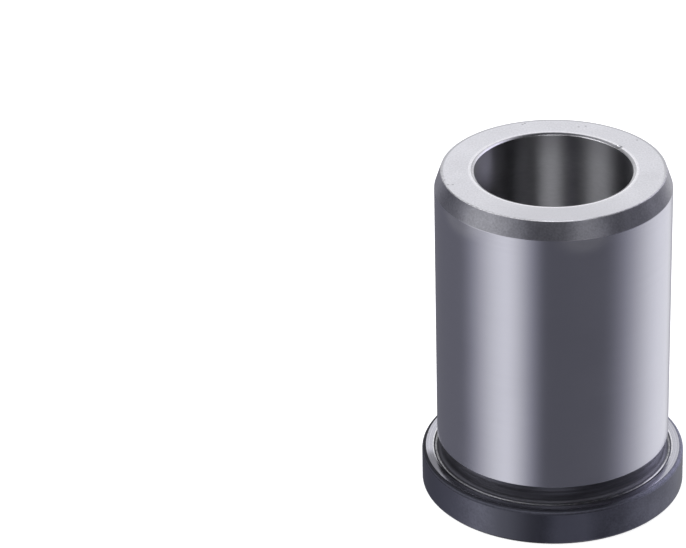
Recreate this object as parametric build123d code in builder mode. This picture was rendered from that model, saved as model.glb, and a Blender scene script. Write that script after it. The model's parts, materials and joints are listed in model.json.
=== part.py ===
from build123d import *
import os

# Headed press-fit drill bushing for a jig plate, turned and ground from one piece of tool steel.
# It stands on its head: the origin is the centre of the head's outer face, where the drill goes in,
# and +Z runs along the bore to the small end, where the drill comes out at the work.

# Head and barrel
head_diameter = 34.0
head_thickness = 5.0
barrel_diameter = 30.0
barrel_length = 40.0  # from the head's seat to the small end's face
bore_diameter = 20.0

# Lead taper, which starts the barrel into its hole in the plate
lead_length = 2.4
lead_drop = 0.8  # taken off the radius at the small end

# Relief under the head, which lets the seat come down flat on the plate
relief_height = 2.4  # up the barrel from the seat
relief_depth = 0.45  # into the barrel
runout_height = 1.1  # sloping end of the relief, where it meets the ground barrel
seat_relief_width = 0.55  # out past the barrel's radius, to the lip on the seat
seat_relief_depth = 0.2  # into the seat
relief_corner_radius = 0.5

# Broken edges
entry_radius = 3.0  # bore's mouth in the head, rounded to guide the drill's point
exit_break_width = 0.45  # bore's edge at the small end, across the end face
exit_break_depth = 0.2  # and down the bore
rim_radius = 0.5  # head's rim beside the seat
foot_chamfer = 0.4  # head's rim at its outer face

head_radius = head_diameter / 2
barrel_radius = barrel_diameter / 2
bore_radius = bore_diameter / 2
seat_height = head_thickness
end_height = seat_height + barrel_length
relief_floor_radius = barrel_radius - relief_depth

with BuildPart() as drill_bushing:
    # Half section of the blank, from the bore outwards
    with BuildSketch(Plane.XZ):
        with BuildLine():
            Polyline(
                (bore_radius, 0),
                (head_radius, 0),
                (head_radius, seat_height),
                (barrel_radius, seat_height),
                (barrel_radius, end_height - lead_length),
                (barrel_radius - lead_drop, end_height),
                (bore_radius, end_height),
                close=True,
            )
        make_face()
    revolve(axis=Axis.Z)

    # Relief cut into the barrel and the seat in one pass of a round-nosed tool
    with BuildSketch(Plane.XZ) as relief:
        with BuildLine():
            Polyline(
                (barrel_radius + seat_relief_width, seat_height),
                (relief_floor_radius, seat_height - seat_relief_depth),
                (relief_floor_radius, seat_height + relief_height - runout_height),
                (barrel_radius, seat_height + relief_height),
                close=True,
            )
        make_face()
        fillet(relief.vertices().sort_by(Axis.Y)[0], radius=relief_corner_radius)
    revolve(axis=Axis.Z, mode=Mode.SUBTRACT)

    # Both ends of the bore
    outer_face_rims = drill_bushing.edges().filter_by_position(Axis.Z, 0, 0).sort_by(SortBy.RADIUS)
    fillet(outer_face_rims[0], radius=entry_radius)
    end_face = drill_bushing.faces().sort_by(Axis.Z)[-1]
    end_face_rims = end_face.edges().sort_by(SortBy.RADIUS)
    chamfer(end_face_rims[0], length=exit_break_width, length2=exit_break_depth, reference=end_face)

    # Both edges of the head's rim
    head_rims = drill_bushing.edges().filter_by(GeomType.CIRCLE).group_by(SortBy.RADIUS)[-1].sort_by(Axis.Z)
    chamfer(head_rims[0], length=foot_chamfer)
    fillet(head_rims[-1], radius=rim_radius)

drill_bushing.part.label = "drill_bushing"

os.makedirs("parts", exist_ok=True)
export_step(drill_bushing.part, "parts/drill_bushing.step")
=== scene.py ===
import json
import math

import bmesh
import bpy
from mathutils import Matrix, Vector


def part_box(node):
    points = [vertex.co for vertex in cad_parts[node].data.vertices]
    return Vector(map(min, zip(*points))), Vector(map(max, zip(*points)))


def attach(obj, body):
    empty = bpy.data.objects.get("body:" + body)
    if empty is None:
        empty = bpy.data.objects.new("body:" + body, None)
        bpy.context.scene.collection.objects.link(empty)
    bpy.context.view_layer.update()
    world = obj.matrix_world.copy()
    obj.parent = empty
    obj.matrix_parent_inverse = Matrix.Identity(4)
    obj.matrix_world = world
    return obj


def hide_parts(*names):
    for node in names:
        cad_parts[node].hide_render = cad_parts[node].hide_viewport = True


bl_info = {
    "name": "Drill Bushing",
    "version": (1, 0, 0),
    "blender": (4, 5, 0),
    "location": "3D View > Sidebar > Bushing",
    "description": "Turns the packed drill bushing again with its finishes, and sets its studio",
    "category": "Object",
}

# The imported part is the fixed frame. Its box and mounts give the sizes that the piece has to keep.
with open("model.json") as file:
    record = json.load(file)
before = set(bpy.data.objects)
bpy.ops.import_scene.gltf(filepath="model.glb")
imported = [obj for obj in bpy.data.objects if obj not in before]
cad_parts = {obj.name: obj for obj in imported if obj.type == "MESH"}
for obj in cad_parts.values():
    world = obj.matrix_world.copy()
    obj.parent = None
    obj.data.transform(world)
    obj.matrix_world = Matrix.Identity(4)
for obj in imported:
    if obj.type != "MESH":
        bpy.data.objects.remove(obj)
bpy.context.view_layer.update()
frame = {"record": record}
mounts = {mount["name"]: mount for mount in frame["record"]["mounts"]}
MM = 0.001

NODE = "drill_bushing"
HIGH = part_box(NODE)[1]


class BushingSizes(bpy.types.PropertyGroup):
    """Sizes of the turned bushing, in metres"""

    head_radius: bpy.props.FloatProperty(
        name="Head Radius", description="Radius of the head's rim",
        default=HIGH.x, unit="LENGTH", precision=5)
    seat_height: bpy.props.FloatProperty(
        name="Seat Height", description="Height of the seat that stops the head on the jig plate",
        default=mounts["head_seat"]["pos_m"][2], unit="LENGTH", precision=5)
    barrel_radius: bpy.props.FloatProperty(
        name="Barrel Radius", description="Radius of the ground barrel",
        default=mounts["press_barrel"]["dims"]["r_mm"] * MM, unit="LENGTH", precision=5)
    end_height: bpy.props.FloatProperty(
        name="End Height", description="Height of the small end's face",
        default=HIGH.z, unit="LENGTH", precision=5)
    bore_radius: bpy.props.FloatProperty(
        name="Bore Radius", description="Radius of the bore that guides the drill",
        default=mounts["guide_bore"]["dims"]["r_mm"] * MM, unit="LENGTH", precision=5)
    lead_length: bpy.props.FloatProperty(
        name="Lead Length", description="Height of the taper at the small end",
        default=2.4 * MM, unit="LENGTH", precision=5)
    lead_drop: bpy.props.FloatProperty(
        name="Lead Drop", description="What the taper takes off the radius",
        default=0.8 * MM, unit="LENGTH", precision=5)
    relief_height: bpy.props.FloatProperty(
        name="Relief Height", description="Height of the relief above the seat",
        default=2.4 * MM, unit="LENGTH", precision=5)
    relief_depth: bpy.props.FloatProperty(
        name="Relief Depth", description="Depth of the relief in the barrel",
        default=0.45 * MM, unit="LENGTH", precision=5)
    runout_height: bpy.props.FloatProperty(
        name="Runout Height", description="Height of the slope between the relief and the barrel",
        default=1.1 * MM, unit="LENGTH", precision=5)
    seat_relief_width: bpy.props.FloatProperty(
        name="Seat Relief Width", description="From the barrel's radius out to the relief's lip",
        default=0.55 * MM, unit="LENGTH", precision=5)
    seat_relief_depth: bpy.props.FloatProperty(
        name="Seat Relief Depth", description="Depth of the relief in the seat",
        default=0.2 * MM, unit="LENGTH", precision=5)
    ridge_offset: bpy.props.FloatProperty(
        name="Ridge Offset", description="From the barrel's radius out to the fine ridge that the tool left",
        default=0.12 * MM, unit="LENGTH", precision=5)
    # The ridge's bright places are painted highlights
    ridge_width: bpy.props.FloatProperty(
        name="Ridge Width", description="Width of the ridge's outer slope, which has painted glints in places",
        default=0.19 * MM, unit="LENGTH", precision=5)
    ridge_depth: bpy.props.FloatProperty(
        name="Ridge Depth", description="Drop from the ridge's crest to the groove outside it",
        default=0.08 * MM, unit="LENGTH", precision=6)
    relief_corner: bpy.props.FloatProperty(
        name="Relief Corner", description="Radius in the corner of the relief",
        default=0.5 * MM, unit="LENGTH", precision=5)
    entry_radius: bpy.props.FloatProperty(
        name="Entry Radius", description="Rounding of the bore's mouth in the head",
        default=3.0 * MM, unit="LENGTH", precision=5)
    exit_break_width: bpy.props.FloatProperty(
        name="Exit Break Width", description="Broken edge of the bore, across the small end's face",
        default=0.45 * MM, unit="LENGTH", precision=5)
    exit_break_depth: bpy.props.FloatProperty(
        name="Exit Break Depth", description="Broken edge of the bore, down from the small end's face",
        default=0.2 * MM, unit="LENGTH", precision=5)
    rim_radius: bpy.props.FloatProperty(
        name="Rim Radius", description="Rounding of the head's rim beside the seat",
        default=0.5 * MM, unit="LENGTH", precision=5)
    foot_chamfer: bpy.props.FloatProperty(
        name="Foot Chamfer", description="Chamfer of the head's rim at its outer face",
        default=0.4 * MM, unit="LENGTH", precision=5)
    # A flat ring of the end face beside the bore, painted bright as a highlight
    highlight_ring_width: bpy.props.FloatProperty(
        name="Highlight Ring Width", description="Ring of the end face beside the bore, painted bright as a highlight",
        default=0.28 * MM, unit="LENGTH", precision=5)
    edge_break: bpy.props.FloatProperty(
        name="Edge Break", description="Rounding that wear leaves on a sharp edge",
        default=0.08 * MM, unit="LENGTH", precision=6)
    segments: bpy.props.IntProperty(
        name="Segments", description="Faces round the bushing",
        default=288, min=24)


class BushingFinishes(bpy.types.PropertyGroup):
    """Colours of the bushing's finishes"""

    barrel_colour: bpy.props.FloatVectorProperty(
        name="Barrel", description="Steel of the cylindrically ground barrel",
        default=(0.57, 0.57, 0.63), subtype="COLOR", min=0, max=1)
    # Also the colour of the barrel's painted highlights
    end_face_colour: bpy.props.FloatVectorProperty(
        name="End Face", description="Steel of both ground ends, and of the barrel's painted highlights",
        default=(0.73, 0.73, 0.755), subtype="COLOR", min=0, max=1)
    seat_colour: bpy.props.FloatVectorProperty(
        name="Seat", description="Steel of the head's seat",
        default=(0.54, 0.54, 0.585), subtype="COLOR", min=0, max=1)
    bore_colour: bpy.props.FloatVectorProperty(
        name="Bore", description="Steel of the honed bore",
        default=(0.37, 0.37, 0.385), subtype="COLOR", min=0, max=1)
    taper_colour: bpy.props.FloatVectorProperty(
        name="Taper", description="Darker steel of the turned taper",
        default=(0.40, 0.40, 0.43), subtype="COLOR", min=0, max=1)
    rim_colour: bpy.props.FloatVectorProperty(
        name="Head Rim", description="Blue-black steel of the head's rim",
        default=(0.15, 0.153, 0.19), subtype="COLOR", min=0, max=1)
    # Also the colour of painted highlights: the ring beside the bore, and glints on the ridge and on the edge
    # above the taper
    edge_colour: bpy.props.FloatVectorProperty(
        name="Edges", description="Bright steel of the worn edges",
        default=(0.92, 0.92, 0.94), subtype="COLOR", min=0, max=1)
    # Also on the chamfer at the head's foot, as painted shade where it meets the floor
    relief_colour: bpy.props.FloatVectorProperty(
        name="Relief", description="Dark steel of the relief and of the chamfer at the head's foot",
        default=(0.078, 0.078, 0.09), subtype="COLOR", min=0, max=1)


class StudioSettings(bpy.types.PropertyGroup):
    """Camera of the studio"""

    camera_elevation: bpy.props.FloatProperty(
        name="Elevation", description="Camera's height above the horizon, seen from the bushing",
        default=math.radians(29.18), subtype="ANGLE")
    camera_distance: bpy.props.FloatProperty(
        name="Distance", description="From the camera to the looked-at point on the bushing's axis",
        default=462.7 * MM, unit="LENGTH", precision=5)
    look_height: bpy.props.FloatProperty(
        name="Look Height", description="Height of the looked-at point on the bushing's axis",
        default=22.0 * MM, unit="LENGTH", precision=5)
    camera_pan: bpy.props.FloatProperty(
        name="Pan", description="Turn to the left, which brings the bushing right of the middle",
        default=math.radians(3.34), subtype="ANGLE")
    camera_tilt: bpy.props.FloatProperty(
        name="Tilt", description="Turn upwards, which brings the bushing below the middle",
        default=math.radians(0.86), subtype="ANGLE")
    camera_roll: bpy.props.FloatProperty(
        name="Roll", description="Turn about the line of sight",
        default=math.radians(0.29), subtype="ANGLE")
    focal_pixels: bpy.props.FloatProperty(
        name="Focal Length", description="Focal length in pixels of the frame",
        default=3600.0)


class Value:
    """A socket that Python's operators do shader maths on."""

    def __init__(self, nodes, socket):
        self.nodes = nodes
        self.socket = socket

    def maths(self, operation, *values):
        node = self.nodes.add("ShaderNodeMath", {"operation": operation}, dict(enumerate(values)))
        return Value(self.nodes, node.outputs[0])

    def __add__(self, other):
        return self.maths("ADD", self, other)

    def __sub__(self, other):
        return self.maths("SUBTRACT", self, other)

    def __rsub__(self, other):
        return self.maths("SUBTRACT", other, self)

    def __mul__(self, other):
        return self.maths("MULTIPLY", self, other)

    __radd__ = __add__
    __rmul__ = __mul__

    def ramp(self, start, end, low=0.0, high=1.0):
        """Goes smoothly from low to high as this value goes from start to end."""
        return self.nodes.value("ShaderNodeMapRange", {"interpolation_type": "SMOOTHSTEP"},
                                {"Value": self, "From Min": start, "From Max": end,
                                 "To Min": low, "To Max": high}, "Result")

    def band(self, rise_start, rise_end, fall_start, fall_end):
        """Goes smoothly from 0 up to 1, and then down to 0 again."""
        return self.ramp(rise_start, rise_end) * self.ramp(fall_start, fall_end, 1, 0)


class Nodes:
    """One node tree, emptied and ready for new nodes."""

    def __init__(self, tree):
        self.tree = tree
        tree.nodes.clear()

    def add(self, kind, settings=None, inputs=None):
        """A node of this kind: its settings first, then the value or link of each input."""
        node = self.tree.nodes.new(kind)
        for name, setting in (settings or {}).items():
            setattr(node, name, setting)
        for key, given in (inputs or {}).items():
            if isinstance(given, Value):
                self.tree.links.new(given.socket, node.inputs[key])
            else:
                node.inputs[key].default_value = given
        return node

    def value(self, kind, settings=None, inputs=None, output=0):
        return Value(self, self.add(kind, settings, inputs).outputs[output])

    def blend(self, factor, first, second):
        """The first colour where factor is 0, and the second where it is 1."""
        node = self.add("ShaderNodeMix", {"data_type": "RGBA"})
        for socket, given in zip((node.inputs[0], node.inputs[6], node.inputs[7]), (factor, first, second)):
            if isinstance(given, Value):
                self.tree.links.new(given.socket, socket)
            else:
                socket.default_value = given
        return Value(self, node.outputs[2])

    def seen(self):
        """1 where the camera looks, and 0 for reflections and light."""
        return self.value("ShaderNodeLightPath", output="Is Camera Ray")


def rgba(colour, gain=1.0):
    return (*(channel * gain for channel in colour), 1.0)


def grey(level):
    return (level, level, level, 1.0)


class Material(Nodes):
    """A new material, without a shader yet."""

    def __init__(self, name):
        self.material = bpy.data.materials.new(name)
        self.material.use_nodes = True
        super().__init__(self.material.node_tree)

    def shaded(self, shader):
        self.add("ShaderNodeOutputMaterial", None, {"Surface": shader})
        return self.material


class Surface(Material):
    """A material of the bushing, with the patterns that its finishes are made of."""

    # Share of a spot's reach that is marked in full
    SPOT_CORE = 0.3
    # Turns the gloss from round the bushing to along it
    QUARTER_TURN = 0.25

    def __init__(self, name):
        super().__init__(name)
        self.place = self.value("ShaderNodeTexCoord", output="Object")

    def squeezed(self, x, y, z):
        """Object coordinates with each axis multiplied, for a pattern that is long along the small ones."""
        return self.value("ShaderNodeMapping", None, {"Vector": self.place, "Scale": (x, y, z)})

    def noise(self, scale=1.0, detail=2.0, roughness=0.5, vector=None):
        return self.value("ShaderNodeTexNoise", None,
                          {"Vector": vector or self.place, "Scale": scale, "Detail": detail,
                           "Roughness": roughness}, "Fac")

    def speckle(self, scale, detail=3.0):
        """Noise that is rough down to its finest grain."""
        return self.noise(scale, detail, roughness=0.7)

    def turning_lines(self):
        """Lines of a turning tool, which run round the bushing."""
        return self.noise(detail=2.0, roughness=0.6, vector=self.squeezed(100, 100, 4000))

    def radius(self):
        """Distance from the bushing's axis."""
        flat = self.value("ShaderNodeVectorMath", {"operation": "MULTIPLY"}, {0: self.place, 1: (1, 1, 0)})
        return self.value("ShaderNodeVectorMath", {"operation": "LENGTH"}, {0: flat}, "Value")

    def rings(self, scale):
        """Marks of a facing cut, which change only with the radius."""
        return self.value("ShaderNodeTexNoise", {"noise_dimensions": "1D"},
                          {"W": self.radius(), "Scale": scale, "Detail": 2.0, "Roughness": 0.6}, "Fac")

    def along(self, axis, start, end):
        """Goes smoothly from 0 to 1 between two places on X, Y or Z, in millimetres."""
        place = self.value("ShaderNodeSeparateXYZ", None, {0: self.place}, axis)
        return place.ramp(start * MM, end * MM)

    def spot(self, place, reach, tall=1.0, strength=1.0):
        """Strength at a place, down to 0 at its reach, or at this many times its reach further up or down.
        Place and reach are in millimetres."""
        squash = (1, 1, 1 / tall)
        centre = tuple(number * MM * factor for number, factor in zip(place, squash))
        distance = self.value("ShaderNodeVectorMath", {"operation": "DISTANCE"},
                              {0: self.squeezed(*squash), 1: centre}, "Value")
        return distance.ramp(reach * MM * self.SPOT_CORE, reach * MM, strength, 0)

    def spots(self, places, reach):
        total = 0.0
        for place in places:
            total = self.spot(place, reach) + total
        return total

    def mottled(self, pattern, colour, dark, light, contrast=0.15):
        """A colour times dark where the pattern is low, and times light where it is high."""
        return self.blend(pattern.ramp(0.5 - contrast, 0.5 + contrast), rgba(colour, dark), rgba(colour, light))

    def finish(self, colour, roughness, grain=0.0, height=None, depth=0.0, strength=1.0, glancing=1.0):
        """A bare metal surface. Grain draws its gloss out along the axis, across lines that run round it.
        Glancing is what it keeps of the shine that metal has when it is seen almost edge on."""
        inputs = {"Base Color": colour, "Metallic": 1.0, "Roughness": roughness,
                  "Anisotropic": grain, "Anisotropic Rotation": self.QUARTER_TURN,
                  "Specular Tint": grey(glancing)}
        if height is not None:
            inputs["Normal"] = self.value("ShaderNodeBump", None,
                                          {"Height": height, "Distance": depth, "Strength": strength}, "Normal")
        return self.shaded(self.value("ShaderNodeBsdfPrincipled", None, inputs))


# Pits and stains seen on the part, and the dent in the bore's edge: places and reach in millimetres
END_FACE_PITS = ((-4.0, 12.7, 45), (-3.7, 13.0, 45), (3.2, 12.0, 45), (4.1, 12.2, 45), (10.6, 8.2, 45),
                 (-14.0, -0.7, 45), (-13.8, -2.1, 45), (-13.6, -3.2, 45), (-13.1, -4.5, 45), (-12.5, -4.4, 45))
END_FACE_PIT_REACH = 0.22
SEAT_PITS = ((-15.6, 6.1, 5), (-16.1, 4.4, 5), (-16.3, 3.6, 5), (-16.4, 2.5, 5), (-16.6, 2.6, 5), (-16.6, 1.4, 5))
SEAT_PIT_REACH = 0.24
SEAT_STAINS = ((-15.4, -4.4, 5), (-14.6, -6.3, 5))
SEAT_STAIN_REACH = 3.2
NICK = (8.2, 6.2, 45)
# Reach of the painted shade in the dent
NICK_SHADE_REACH = 0.45

# Other marks: place and reach in millimetres, how many times as tall as wide, and strength
STAIN = ((0.5, -15.5, 45), 13, 1, 0.6)
# Painted highlights on the relief's ridge, left and right
PAINTED_GLINT_LEFT = ((-6.4, -13.6, 5), 8, 1, 0.75)
PAINTED_GLINT_RIGHT = ((13.3, -7.1, 5), 4.5, 1, 0.5)
# A painted glint on the edge above the taper
PAINTED_GLINT_END = ((1.6, -14.1, 45), 5, 1, 0.8)
# Painted highlights on the barrel below the taper
PAINTED_HIGHLIGHT_LEFT = ((-11.5, -9.6, 42.6), 5.5, 0.6)
PAINTED_HIGHLIGHT_FRONT = ((3.9, -14.5, 42.6), 5, 0.6)
# Two painted reflections on the head's rim, then a patch of painted shade
PAINTED_REFLECTION_PATCH = ((2.6, -16.8, 1.8), 4.2, 3, 0.7)
PAINTED_REFLECTION_SIDE = ((-15.6, -6.8, 2.5), 9)
PAINTED_SHADE_PATCH = ((-4.6, -16.4, 2.5), 5.5, 3)

# Where a colour changes from one look to another: the axis, and from where to where in millimetres. All but the
# bore's darker end mark where painted light or painted shade sets in.
BORE_DARKER_END = ("Z", 40.5, 45)
# Painted shade along the end face's outer border, on the back side
SHADED_BORDER_SIDE = ("Y", -6, 2)
# Painted shade on the relief's lip towards -Y
LIP_SHADED_SIDE = ("Y", -7, -4)
# Painted light: the relief and its corner are lighter towards +X
RELIEF_LIT_SIDE = ("X", 2, 14)
# Painted light on the rim's rounding towards +X, and painted shade at its top
RIM_LIT_SIDE = ("X", 6, 14)
RIM_SHADED_TOP = ("Z", 4.76, 4.88)

# Radius at which the end face's border of painted shade starts, and at which it is full
SHADED_BORDER_RADII = (13.75 * MM, 13.95 * MM)


def ground_barrel(finishes):
    """Cylindrical grinding: bright, with hair lines round the barrel. Two places below the taper carry painted
    highlights.
    """
    s = Surface("ground barrel")
    lines = s.noise(detail=3.0, roughness=0.6, vector=s.squeezed(60, 60, 9000))
    cloud = s.noise(scale=180, detail=2.0)
    ground = s.mottled(lines, finishes.barrel_colour, 0.985, 1.015, contrast=0.2)
    # Painted highlights: two places below the taper take the end face's brighter colour
    painted_highlight = s.spot(*PAINTED_HIGHLIGHT_LEFT) + s.spot(*PAINTED_HIGHLIGHT_FRONT)
    colour = s.blend(painted_highlight * painted_highlight, ground, rgba(finishes.end_face_colour, 1.08))
    return s.finish(colour, roughness=cloud * 0.06 + 0.17, grain=0.6,
                    height=lines, depth=0.001 * MM, strength=0.3, glancing=0.95)


def ground_face(finishes):
    """Surface grinding: satin, with a fine speckle."""
    s = Surface("ground face")
    speckle = s.speckle(4200, detail=2.0)
    cloud = s.noise(scale=260, detail=3.0)
    clean = s.mottled(speckle * 0.75 + cloud * 0.25, finishes.end_face_colour, 0.9, 1.08)
    stained = s.blend(s.spot(*STAIN), clean, rgba(finishes.end_face_colour, 0.8))
    # Painted shade: the end face darkens along its outer border on the back side
    painted_border_shade = s.radius().ramp(*SHADED_BORDER_RADII) * s.along(*SHADED_BORDER_SIDE)
    border_shaded = s.blend(painted_border_shade, stained, rgba(finishes.end_face_colour, 0.66))
    colour = s.blend(s.spots(END_FACE_PITS, END_FACE_PIT_REACH), border_shaded, rgba(finishes.end_face_colour, 0.6))
    return s.finish(colour, roughness=cloud * 0.08 + 0.3, height=speckle, depth=0.006 * MM, strength=0.5)


def ground_seat(finishes):
    """Plunge grinding: smoother than the end face, so that it mirrors the dark relief beside it."""
    s = Surface("ground seat")
    speckle = s.speckle(4200, detail=2.0)
    cloud = s.noise(scale=260, detail=3.0)
    rings = s.rings(5000)
    shade = speckle * 0.4 + rings * 0.6
    clean = s.mottled(shade, finishes.seat_colour, 0.86, 1.08)
    stain = s.spots(SEAT_STAINS, SEAT_STAIN_REACH) * shade.ramp(0.3, 0.6, 0.6, 1)
    stained = s.blend(stain, clean, rgba(finishes.seat_colour, 0.36))
    colour = s.blend(s.spots(SEAT_PITS, SEAT_PIT_REACH), stained, rgba(finishes.seat_colour, 0.35))
    return s.finish(colour, roughness=cloud * 0.06 + 0.14, grain=0.3,
                    height=rings, depth=0.003 * MM, strength=0.5)


def honed_bore(finishes):
    """Honing: fine lines round the bore, whose colour is darker towards the small end."""
    s = Surface("honed bore")
    lines = s.noise(detail=1.0, roughness=0.5, vector=s.squeezed(0, 0, 16000))
    grain = s.noise(detail=3.0, roughness=0.6, vector=s.squeezed(900, 900, 3000))
    honed = s.mottled(grain, finishes.bore_colour, 1.02, 1.12, contrast=0.2)
    # The bore's colour is darker over its last 4.5 mm towards the small end
    colour = s.blend(s.along(*BORE_DARKER_END), honed, rgba(finishes.bore_colour, 0.72))
    return s.finish(colour, roughness=grain * 0.08 + 0.35, grain=1.0, height=lines, depth=0.0005 * MM)


def broken_edge(finishes):
    """Edge of the bore, broken with a stone, with painted shade in its dent."""
    s = Surface("broken edge")
    clean = s.mottled(s.speckle(5200, detail=2.0), finishes.edge_colour, 0.47, 0.57)
    colour = s.blend(s.spot(NICK, NICK_SHADE_REACH), clean, rgba(finishes.edge_colour, 0.12))
    return s.finish(colour, roughness=0.25)


def painted_highlight_ring(finishes):
    """Ring of the end face beside the bore, painted bright as a highlight."""
    s = Surface("burnished edge")
    colour = s.mottled(s.speckle(2600), finishes.edge_colour, 0.87, 0.95, contrast=0.1)
    return s.finish(colour, roughness=0.26)


def dulled_edge(finishes):
    """Rounded edge between the taper and the end face, dull, with a painted glint in one place."""
    s = Surface("dulled edge")
    dull = s.mottled(s.speckle(2600), finishes.edge_colour, 0.45, 0.65)
    colour = s.blend(s.spot(*PAINTED_GLINT_END), dull, rgba(finishes.edge_colour))
    return s.finish(colour, roughness=0.55)


def glinting_ridge(finishes):
    """Ridge in the relief, dull, with painted highlights in two places."""
    s = Surface("worn ridge")
    dull = s.mottled(s.speckle(2600), finishes.edge_colour, 0.2, 0.4)
    painted_glints = s.spot(*PAINTED_GLINT_LEFT) + s.spot(*PAINTED_GLINT_RIGHT)
    colour = s.blend(painted_glints, dull, rgba(finishes.edge_colour))
    return s.finish(colour, roughness=0.3)


def worn_lip_with_shade(finishes):
    """Lip of the relief, worn bright, with painted shade towards -Y, where it takes the relief's dark colour."""
    s = Surface("worn lip")
    worn = s.mottled(s.speckle(2600), finishes.edge_colour, 0.7, 1.0)
    # Painted shade: towards -Y the lip takes the relief's dark colour
    colour = s.blend(s.along(*LIP_SHADED_SIDE), rgba(finishes.relief_colour), worn)
    return s.finish(colour, roughness=0.3)


def turned_corner(finishes):
    """Round corner of the relief, with painted light on one side."""
    s = Surface("turned corner")
    side = s.along(*RELIEF_LIT_SIDE)
    low = s.blend(side, rgba(finishes.relief_colour, 0.8), rgba(finishes.relief_colour, 2.6))
    high = s.blend(side, rgba(finishes.relief_colour, 1.2), rgba(finishes.relief_colour, 3.8))
    return s.finish(s.blend(s.turning_lines().ramp(0.3, 0.7), low, high), roughness=0.7)


def turned_taper(finishes):
    """Turned and hardened, and left darker than the ground barrel."""
    s = Surface("turned taper")
    grain = s.speckle(3800)
    cloud = s.noise(scale=300, detail=3.0)
    colour = s.mottled(grain * 0.6 + cloud * 0.4, finishes.taper_colour, 0.8, 1.15)
    return s.finish(colour, roughness=cloud * 0.1 + 0.25, height=grain, depth=0.01 * MM, strength=0.6)


def blued_rim(finishes):
    """The furnace's blue-black on the head's rim, with a patch of painted shade and two of painted reflection."""
    s = Surface("blued rim")
    grain = s.speckle(3000)
    cloud = s.noise(scale=240, detail=3.0)
    even = s.mottled(grain * 0.5 + cloud * 0.5, finishes.rim_colour, 0.8, 1.15)
    darker = s.blend(s.spot(*PAINTED_SHADE_PATCH), even, rgba(finishes.rim_colour, 0.62))
    lighter = s.blend(s.spot(*PAINTED_REFLECTION_SIDE), darker, rgba(finishes.rim_colour, 1.5))
    colour = s.blend(s.spot(*PAINTED_REFLECTION_PATCH), lighter, rgba(finishes.rim_colour, 2.2))
    return s.finish(colour, roughness=cloud * 0.08 + 0.33, grain=0.3,
                    height=grain, depth=0.01 * MM, strength=0.6, glancing=0.65)


def rolled_rim(finishes):
    """Rounding of the rim beside the seat, with painted shade at its top and painted light on one side."""
    s = Surface("rolled rim")
    side = s.along(*RIM_LIT_SIDE)
    top = s.blend(side, rgba(finishes.rim_colour, 0.17), rgba(finishes.rim_colour, 1.7))
    foot = s.blend(side, rgba(finishes.rim_colour, 0.7), rgba(finishes.rim_colour, 2.2))
    even = s.blend(s.along(*RIM_SHADED_TOP), foot, top)
    colour = s.blend(s.speckle(3000).ramp(0.35, 0.65, 0, 0.3), even, rgba(finishes.rim_colour, 0.3))
    return s.finish(colour, roughness=0.6)


def dark_relief(finishes):
    """Turned relief, which the grinding wheel doesn't reach. It has painted light on one side. On the chamfer at
    the head's foot, its dark colour is painted shade.
    """
    s = Surface("dark relief")
    lines = s.turning_lines()
    side = s.along(*RELIEF_LIT_SIDE)
    low = s.blend(side, rgba(finishes.relief_colour, 0.75), rgba(finishes.relief_colour, 2.5))
    high = s.blend(side, rgba(finishes.relief_colour, 1.3), rgba(finishes.relief_colour, 4.1))
    return s.finish(s.blend(lines.ramp(0.3, 0.7), low, high), roughness=0.5,
                    height=lines, depth=0.01 * MM, strength=0.5)


def start_editing():
    """Opens edit mode, with edges to select."""
    bpy.ops.object.mode_set(mode="EDIT")
    bpy.ops.mesh.select_mode(type="EDGE")


def ring_at(radius, height, tolerance=0.004 * MM):
    """Selects the edges that run round the axis at this radius and height."""
    bpy.ops.mesh.select_all(action="DESELECT")
    mesh = bmesh.from_edit_mesh(bpy.context.object.data)
    found = 0
    for edge in mesh.edges:
        if all(abs(v.co.z - height) < tolerance and abs(v.co.xy.length - radius) < tolerance for v in edge.verts):
            edge.select_set(True)
            found += 1
    mesh.select_flush_mode()
    bmesh.update_edit_mesh(bpy.context.object.data)
    if not found:
        raise RuntimeError(f"no ring of edges at radius {radius:.6f} and height {height:.6f}")


def round_ring(radius, height, offset, segments):
    ring_at(radius, height)
    bpy.ops.mesh.bevel(offset=offset, offset_type="OFFSET", segments=segments, profile=0.5, affect="EDGES")


# Section of the ridge, from its outer foot to its crest: out from the crest in ridge widths, and down from
# the seat in ridge depths
RIDGE_SHOULDER = (1.4, 0.4)
RIDGE_GROOVE = (1.0, 1.5)
RIDGE_SLOPE = (0.45, 0.7)
RIDGE_CREST = (0.0, 0.5)

# Steps in a rounded edge
MOUTH_SEGMENTS = 16
CORNER_SEGMENTS = 6
BREAK_SEGMENTS = 3
FINE_SEGMENTS = 2

# Edge breaks that two sharper edges lose, and that the blunter edge above the taper loses
SHARP = 0.4
BLUNT = 1.4

# Ridge depths that the ridge's two edges lose
GROOVE_ROUNDING = 0.3
CREST_ROUNDING = 0.4

# The dent in the bore's edge: its reach from its middle, and how far it goes outwards and down. It takes in
# the edge to this many edge breaks on both sides.
NICK_REACH = 0.35 * MM
NICK_PUSH = 0.18 * MM
NICK_SINK = 0.12 * MM
NICK_BREAKS = 1.5

# Z of a face's normal, past which it counts as flat, as the bore's broken edge, as the dulled edge above the
# taper, or as the rim's rounding
FLAT = 0.999
BROKEN = 0.5
DULLED = 0.4
ROLLED = 0.05


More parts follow.
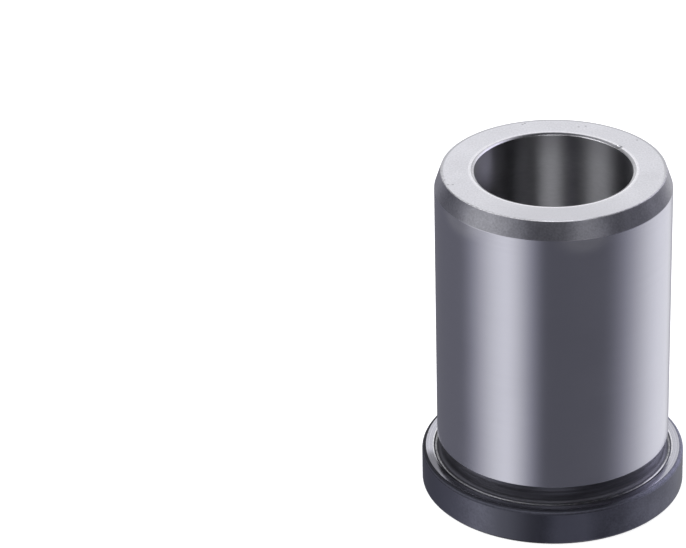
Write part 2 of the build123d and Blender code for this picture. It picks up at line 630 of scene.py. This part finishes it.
class BUSHING_OT_turned_body(bpy.types.Operator):
    """Turns the bushing's whole section round its axis, rounds its edges and gives each face its finish"""

    bl_idname = "bushing.turned_body"
    bl_label = "Turned Body"

    def execute(self, context):
        sizes = context.scene.bushing_sizes
        body = self.turn(sizes)
        self.break_edges(sizes)
        self.nick_rim(sizes)
        bpy.ops.object.mode_set(mode="OBJECT")
        self.give_finishes(body, sizes, context.scene.bushing_finishes)
        self.smooth(body)
        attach(body, "root")
        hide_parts(NODE)
        return {"FINISHED"}

    def ridge_point(self, sizes, point):
        """Radius and height of a point of the ridge's section."""
        out, down = point
        return (sizes.barrel_radius + sizes.ridge_offset + sizes.ridge_width * out,
                sizes.seat_height - sizes.ridge_depth * down)

    def turn(self, sizes):
        """Extrudes one ring of edges along the section, up the outside and down the bore."""
        relief_floor = sizes.barrel_radius - sizes.relief_depth
        relief_top = sizes.seat_height + sizes.relief_height
        stations = [
            (sizes.head_radius - sizes.foot_chamfer, 0),
            (sizes.head_radius, sizes.foot_chamfer),
            (sizes.head_radius, sizes.seat_height),
            (sizes.barrel_radius + sizes.seat_relief_width, sizes.seat_height),
            self.ridge_point(sizes, RIDGE_SHOULDER),
            self.ridge_point(sizes, RIDGE_GROOVE),
            self.ridge_point(sizes, RIDGE_SLOPE),
            self.ridge_point(sizes, RIDGE_CREST),
            (relief_floor, sizes.seat_height - sizes.seat_relief_depth),
            (relief_floor, relief_top - sizes.runout_height),
            (sizes.barrel_radius, relief_top),
            (sizes.barrel_radius, sizes.end_height - sizes.lead_length),
            (sizes.barrel_radius - sizes.lead_drop, sizes.end_height),
            (sizes.bore_radius + sizes.exit_break_width + sizes.highlight_ring_width, sizes.end_height),
            (sizes.bore_radius + sizes.exit_break_width, sizes.end_height),
            (sizes.bore_radius, sizes.end_height - sizes.exit_break_depth),
            (sizes.bore_radius, 0),
        ]
        bpy.ops.object.select_all(action="DESELECT")
        radius, height = stations[0]
        bpy.ops.mesh.primitive_circle_add(vertices=sizes.segments, radius=radius, location=(0, 0, 0))
        body = bpy.context.object
        body.name = "turned_bushing"
        start_editing()
        bpy.ops.mesh.select_all(action="SELECT")
        for next_radius, next_height in stations[1:]:
            bpy.ops.mesh.extrude_region_move(
                TRANSFORM_OT_translate={"value": (0, 0, next_height - height)})
            scale = next_radius / radius
            bpy.ops.transform.resize(value=(scale, scale, 1), center_override=(0, 0, next_height))
            radius, height = next_radius, next_height
        bpy.ops.mesh.select_all(action="DESELECT")
        bpy.ops.mesh.select_non_manifold()
        bpy.ops.mesh.bridge_edge_loops()
        bpy.ops.mesh.select_all(action="SELECT")
        bpy.ops.mesh.normals_make_consistent(inside=False)
        return body

    def break_edges(self, sizes):
        """Rounds the large corners, and then takes the sharpness off every other edge."""
        relief_floor = sizes.barrel_radius - sizes.relief_depth
        relief_foot = sizes.seat_height - sizes.seat_relief_depth
        relief_top = sizes.seat_height + sizes.relief_height
        exit_foot = sizes.end_height - sizes.exit_break_depth
        wear = sizes.edge_break
        round_ring(sizes.bore_radius, 0, sizes.entry_radius, MOUTH_SEGMENTS)
        round_ring(sizes.head_radius, sizes.seat_height, sizes.rim_radius, CORNER_SEGMENTS)
        round_ring(relief_floor, relief_foot, sizes.relief_corner, CORNER_SEGMENTS)
        for ring in (
            (sizes.head_radius - sizes.foot_chamfer, 0),
            (sizes.head_radius, sizes.foot_chamfer),
            (relief_floor, relief_top - sizes.runout_height),
            (sizes.barrel_radius, sizes.end_height - sizes.lead_length),
            (sizes.barrel_radius + sizes.seat_relief_width, sizes.seat_height),
        ):
            round_ring(*ring, wear, BREAK_SEGMENTS)
        round_ring(*self.ridge_point(sizes, RIDGE_GROOVE), sizes.ridge_depth * GROOVE_ROUNDING, FINE_SEGMENTS)
        round_ring(*self.ridge_point(sizes, RIDGE_CREST), sizes.ridge_depth * CREST_ROUNDING, FINE_SEGMENTS)
        round_ring(sizes.bore_radius, exit_foot, wear * SHARP, FINE_SEGMENTS)
        round_ring(sizes.barrel_radius, relief_top, wear * SHARP, FINE_SEGMENTS)
        round_ring(sizes.barrel_radius - sizes.lead_drop, sizes.end_height, wear * BLUNT, BREAK_SEGMENTS)
        round_ring(sizes.bore_radius + sizes.exit_break_width, sizes.end_height, wear, BREAK_SEGMENTS)

    def nick_rim(self, sizes):
        """Pushes a small dent into the bore's broken edge."""
        bpy.ops.mesh.select_mode(type="VERT")
        bpy.ops.mesh.select_all(action="DESELECT")
        mesh = bmesh.from_edit_mesh(bpy.context.object.data)
        place = Vector(NICK) * MM
        ring = sizes.bore_radius + sizes.exit_break_width
        for vertex in mesh.verts:
            on_ring = abs(vertex.co.xy.length - ring) < sizes.edge_break * NICK_BREAKS
            if on_ring and (vertex.co - place).length < NICK_REACH:
                vertex.select_set(True)
        mesh.select_flush_mode()
        bmesh.update_edit_mesh(bpy.context.object.data)
        outwards = place.xy.normalized() * NICK_PUSH
        bpy.ops.transform.translate(value=(outwards.x, outwards.y, -NICK_SINK))

    def give_finishes(self, body, sizes, finishes):
        """Each face takes the finish of the cut that made it."""
        makers = (ground_barrel, ground_face, ground_seat, honed_bore, broken_edge, painted_highlight_ring, turned_taper,
                  blued_rim, dark_relief, turned_corner, rolled_rim, glinting_ridge, worn_lip_with_shade, dulled_edge)
        for maker in makers:
            body.data.materials.append(maker(finishes))
        (barrel, face, seat, bore, broken, highlight_ring, taper,
         rim, relief, corner, rolled, ridge, lip, dulled) = range(len(makers))
        relief_top = sizes.seat_height + sizes.relief_height
        lead_foot = sizes.end_height - sizes.lead_length
        lip_radius = sizes.barrel_radius + sizes.seat_relief_width
        ridge_radius = sizes.barrel_radius + sizes.ridge_offset
        exit_radius = sizes.bore_radius + sizes.exit_break_width
        mouth_radius = sizes.bore_radius + sizes.entry_radius
        chamfer_radius = sizes.head_radius - sizes.foot_chamfer
        for polygon in body.data.polygons:
            radius, height = polygon.center.xy.length, polygon.center.z
            facing = polygon.normal.z
            # The bore's rounded edge and the flat ring beside it take the painted highlight ring
            if abs(radius - exit_radius) < sizes.edge_break and abs(height - sizes.end_height) < sizes.edge_break:
                finish = highlight_ring
            elif radius < exit_radius:
                finish = broken if facing > BROKEN else bore
            elif height < sizes.entry_radius and radius < mouth_radius:
                finish = bore
            elif facing < -FLAT:
                finish = face
            elif height > lead_foot and facing > FLAT:
                finish = highlight_ring if radius < exit_radius + sizes.highlight_ring_width else face
            elif height > lead_foot and facing > DULLED:
                finish = dulled
            elif height > lead_foot:
                finish = taper
            elif height > relief_top:
                finish = barrel
            elif height > sizes.seat_height + sizes.relief_corner:
                finish = relief
            elif ridge_radius - sizes.ridge_depth < radius < ridge_radius + sizes.ridge_width:
                finish = ridge
            elif abs(radius - lip_radius) < sizes.edge_break:
                finish = lip
            elif radius < lip_radius:
                finish = corner
            elif radius < sizes.head_radius - sizes.rim_radius:
                finish = seat
            elif facing > ROLLED:
                finish = rolled
            # The chamfer at the head's foot takes the dark relief finish as painted shade where the head meets the
            # floor
            elif height < sizes.foot_chamfer and radius > chamfer_radius:
                finish = relief
            else:
                finish = rim
            polygon.material_index = finish

    def smooth(self, body):
        """Flat faces stay flat beside their rounded edges."""
        bpy.ops.object.shade_smooth()
        weighted = body.modifiers.new("weighted normals", "WEIGHTED_NORMAL")
        weighted.mode = "FACE_AREA"
        weighted.weight = 100
        bpy.ops.object.modifier_apply(modifier=weighted.name)


# Frame that the picture is taken in
FRAME_WIDTH = 686
SENSOR_WIDTH = 36.0

# Floor, lit grey with a glow that makes it white to the camera, and the dark disc under the bore
FLOOR_SIZE = 3.0
FLOOR_GREY = 0.55
FLOOR_GLOW = 0.8
SHADE_SIDES = 48
SHADE_RADIUS = 14 * MM
SHADE_DROP = 0.2 * MM
SHADE_GREY = 0.02

# Strengths of the light tent's panels
PANEL_STRENGTHS = {
    "left": 1.0,
    "upper_left": 5.6,
    "right": 1.0,
    "upper_right": 2.5,
    "back": 0.94,
    "patch": 0.7,
    "front": 6.8,
    "top": 0.4,
    "far_left": 0.065,
}

# Colours of the tent: its gaps, its panels, and the panel at the upper right
GAP_TINT = (0.86, 0.86, 1.0)
PANEL_TINT = (0.97, 0.97, 1.0)
UPPER_RIGHT_TINT = (0.84, 0.82, 1.0)


class BUSHING_OT_studio(bpy.types.Operator):
    """Lays the pale floor, hangs the soft light round it and sets the camera"""

    bl_idname = "bushing.studio"
    bl_label = "Studio"

    def execute(self, context):
        settings = context.scene.bushing_studio
        context.scene.view_settings.view_transform = "Standard"
        self.camera(context, settings)
        self.floor()
        self.bore_shade()
        self.surroundings(context)
        return {"FINISHED"}

    def camera(self, context, settings):
        bpy.ops.object.select_all(action="DESELECT")
        bpy.ops.object.camera_add()
        camera = context.object
        camera.name = "studio_camera"
        camera.data.sensor_width = SENSOR_WIDTH
        camera.data.sensor_fit = "HORIZONTAL"
        camera.data.lens = settings.focal_pixels / FRAME_WIDTH * SENSOR_WIDTH
        camera.data.clip_start = 0.01
        place = Vector((0, -settings.camera_distance * math.cos(settings.camera_elevation),
                        settings.look_height + settings.camera_distance * math.sin(settings.camera_elevation)))
        camera.matrix_world = (
            Matrix.Translation(place)
            @ Matrix.Rotation(math.pi / 2 - settings.camera_elevation, 4, "X")
            @ Matrix.Rotation(settings.camera_pan, 4, "Y")
            @ Matrix.Rotation(settings.camera_tilt, 4, "X")
            @ Matrix.Rotation(settings.camera_roll, 4, "Z")
        )
        context.scene.camera = camera

    def floor(self):
        """White to the camera where nothing shades it. Polished steel sees the soft light past it."""
        bpy.ops.object.select_all(action="DESELECT")
        bpy.ops.mesh.primitive_plane_add(size=FLOOR_SIZE, location=(0, 0, 0))
        floor = bpy.context.object
        floor.name = "studio_floor"
        floor.visible_glossy = False
        nodes = Material("pale floor")
        lit = nodes.value("ShaderNodeBsdfDiffuse", None, {"Color": grey(FLOOR_GREY)})
        glow = nodes.value("ShaderNodeEmission", None, {"Color": grey(1), "Strength": FLOOR_GLOW})
        shown = nodes.value("ShaderNodeAddShader", None, {0: lit, 1: glow})
        shader = nodes.value("ShaderNodeMixShader", None, {0: nodes.seen(), 1: lit, 2: shown})
        floor.data.materials.append(nodes.shaded(shader))

    def bore_shade(self):
        """A dark disc under the bore, which keeps the tent's light from coming up through it."""
        bpy.ops.object.select_all(action="DESELECT")
        bpy.ops.mesh.primitive_circle_add(vertices=SHADE_SIDES, radius=SHADE_RADIUS, fill_type="NGON",
                                          location=(0, 0, -SHADE_DROP))
        shade = bpy.context.object
        shade.name = "studio_bore_shade"
        nodes = Material("shaded floor")
        shader = nodes.value("ShaderNodeBsdfDiffuse", None, {"Color": grey(SHADE_GREY)})
        shade.data.materials.append(nodes.shaded(shader))

    def panels(self, x, y, z):
        """Each panel of the tent, and the height that a direction looks to. All are worked out in degrees: the
        bearing goes round from the camera's side to the right, and the height up from the horizon."""
        bearing = x.maths("ARCTAN2", x, y * -1) * math.degrees(1)
        away = bearing.maths("ABSOLUTE", bearing)
        height = z.maths("ARCSINE", z) * math.degrees(1)
        # The panels at the sides lean: to the left where they are low, and to the right where they are high
        low = bearing + height.ramp(-56, -31, 34, 0)
        steep = bearing - height.ramp(10, 50, 0, 24)
        left_rise = height.ramp(-29, 3, -40, -75)
        left_crest = height.ramp(-6, 4, -48, -69)
        left_fall = height.ramp(0, 25, -4, -40)
        right_strength = height.ramp(-27, -10, 0.96, 0.2) * height.ramp(8, 24, 1, 0)
        panels = {
            "left": low.band(-104, left_rise, left_crest, left_fall) * height.ramp(6, 18, 0.92, 0),
            "upper_left": bearing.band(-126, -86, -74, -48) * height.band(26, 40, 62, 78),
            "right": low.band(48, 130, 146, 180) * right_strength,
            "upper_right": steep.ramp(93, 98) * bearing.ramp(130, 156, 1, 0) * height.band(4, 16, 50, 68),
            "back": away.ramp(122, 160) * height.band(-26, 0, 48, 72),
            "patch": bearing.band(12, 26, 26, 68) * height.band(-8, 2, 8, 15),
            "front": bearing.band(-25, -3, 15, 33) * height.band(32, 46, 60, 76),
            "top": height.ramp(80, 88),
            "far_left": bearing.ramp(-110, -60, 1, 0),
        }
        return panels, height

    def surroundings(self, context):
        """A light tent with dark gaps, which shine faintly below and hardly above. The camera sees it white."""
        world = bpy.data.worlds.new("light tent")
        context.scene.world = world
        world.use_nodes = True
        nodes = Nodes(world.node_tree)
        way = nodes.add("ShaderNodeSeparateXYZ", None,
                        {0: nodes.value("ShaderNodeTexCoord", output="Generated")})
        panels, height = self.panels(*(Value(nodes, socket) for socket in way.outputs))
        gaps = height.ramp(6, 22, 0.14, 0.01)
        light = sum((panel * PANEL_STRENGTHS[name] for name, panel in panels.items()), gaps)
        tint = nodes.blend(light.ramp(0.15, 0.9), rgba(GAP_TINT), rgba(PANEL_TINT))
        tint = nodes.blend(panels["upper_right"].ramp(0.2, 0.9), tint, rgba(UPPER_RIGHT_TINT))
        tent = nodes.value("ShaderNodeBackground", None, {"Color": tint, "Strength": light})
        white = nodes.value("ShaderNodeBackground", None, {"Color": grey(1), "Strength": 1.0})
        shader = nodes.value("ShaderNodeMixShader", None, {0: nodes.seen(), 1: tent, 2: white})
        nodes.add("ShaderNodeOutputWorld", None, {"Surface": shader})


class BUSHING_PT_panel(bpy.types.Panel):
    """Lists the bushing's sizes, finishes and steps in the sidebar"""

    bl_idname = "BUSHING_PT_panel"
    bl_label = "Drill Bushing"
    bl_space_type = "VIEW_3D"
    bl_region_type = "UI"
    bl_category = "Bushing"

    def draw(self, context):
        for group in (context.scene.bushing_sizes, context.scene.bushing_finishes, context.scene.bushing_studio):
            box = self.layout.box()
            for name in group.__annotations__:
                box.prop(group, name)
        for operator in STEPS:
            self.layout.operator(operator.bl_idname)


STEPS = (BUSHING_OT_turned_body, BUSHING_OT_studio)
GROUPS = {
    "bushing_sizes": BushingSizes,
    "bushing_finishes": BushingFinishes,
    "bushing_studio": StudioSettings,
}


def register():
    for group in GROUPS.values():
        bpy.utils.register_class(group)
    for name, group in GROUPS.items():
        setattr(bpy.types.Scene, name, bpy.props.PointerProperty(type=group))
    for step in STEPS:
        bpy.utils.register_class(step)
    bpy.utils.register_class(BUSHING_PT_panel)


def unregister():
    bpy.utils.unregister_class(BUSHING_PT_panel)
    for step in reversed(STEPS):
        bpy.utils.unregister_class(step)
    for name, group in GROUPS.items():
        delattr(bpy.types.Scene, name)
        bpy.utils.unregister_class(group)


def main():
    register()
    bpy.ops.bushing.turned_body()
    bpy.ops.bushing.studio()


if __name__ == "__main__":
    main()
